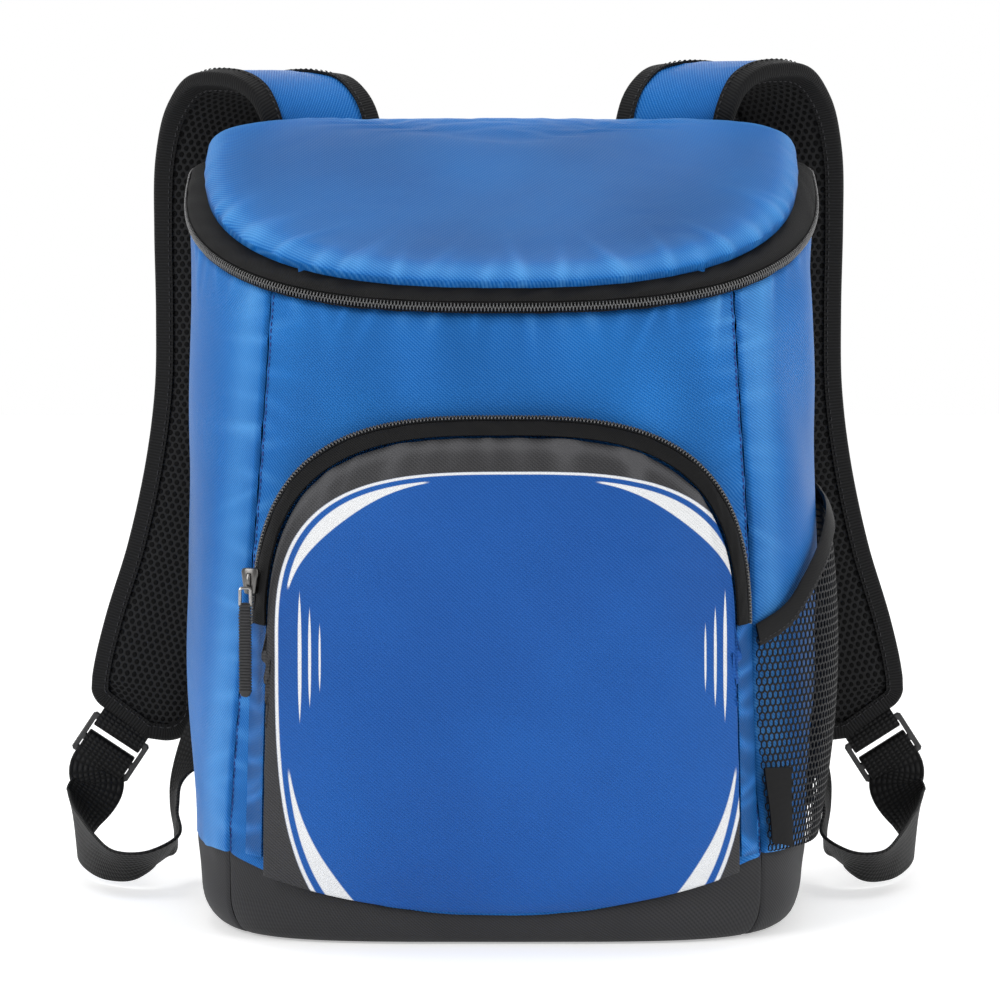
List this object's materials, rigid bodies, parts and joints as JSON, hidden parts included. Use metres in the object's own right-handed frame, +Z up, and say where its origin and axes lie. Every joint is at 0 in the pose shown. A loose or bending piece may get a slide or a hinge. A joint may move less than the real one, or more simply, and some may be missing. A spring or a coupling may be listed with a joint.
{
  "type": "insulated cooler backpack",
  "caption": "Blue and charcoal insulated cooler backpack with a sloping zipped lid, an arched zipped front pocket, a side net pocket and padded shoulder straps.",
  "frame": {"origin": "centre of the bag's flat base, on the floor it stands on", "axes": "+X to the right as seen from the front, +Y from the front pocket to the wearer's back, +Z up"},
  "size_m": [0.4798, 0.2832, 0.4465],
  "materials": {
    "blue_twill": "satin",
    "pocket_twill": "satin",
    "charcoal_twill": "matte",
    "black_binding": "matte",
    "black_webbing": "satin",
    "black_spacer_mesh": "matte",
    "black_net": "matte",
    "zip_tape": "matte",
    "zip_coil": "satin",
    "dark_zip_metal": "polished",
    "black_moulded_plastic": "glossy"
  },
  "bodies": {
    "root": {"front_panel": "blue_twill", "side_panel_right": "blue_twill", "side_panel_left": "blue_twill", "base_band_front": "charcoal_twill", "base_band_right": "charcoal_twill", "base_band_left": "charcoal_twill", "base_band_back": "charcoal_twill", "base_floor": "charcoal_twill", "lid_panel": "blue_twill", "back_panel": "black_spacer_mesh", "lid_zip_tape_lower": "zip_tape", "lid_zip_chain": "zip_coil", "lid_zip_tape_upper": "zip_tape", "lid_zip_slider": "dark_zip_metal", "lid_zip_pull": "black_webbing", "pocket_front": "pocket_twill", "pocket_gusset_left": "blue_twill", "pocket_gusset_right": "blue_twill", "pocket_zip_tape_outer": "zip_tape", "pocket_zip_chain": "zip_coil", "pocket_zip_tape_inner": "zip_tape", "pocket_zip_slider": "dark_zip_metal", "pocket_zip_link": "dark_zip_metal", "pocket_zip_pull": "black_webbing", "net_pocket": "black_net", "net_pocket_binding": "black_binding", "side_label": "black_binding", "strap_pad_left": "black_spacer_mesh", "strap_cover_left": "blue_twill", "strap_binding_left": "black_binding", "strap_tab_left": "black_webbing", "ladder_lock_left": "black_moulded_plastic", "adjusting_strap_left": "black_webbing", "strap_pad_right": "black_spacer_mesh", "strap_cover_right": "blue_twill", "strap_binding_right": "black_binding", "strap_tab_right": "black_webbing", "ladder_lock_right": "black_moulded_plastic", "adjusting_strap_right": "black_webbing"}
  },
  "joints": []
}
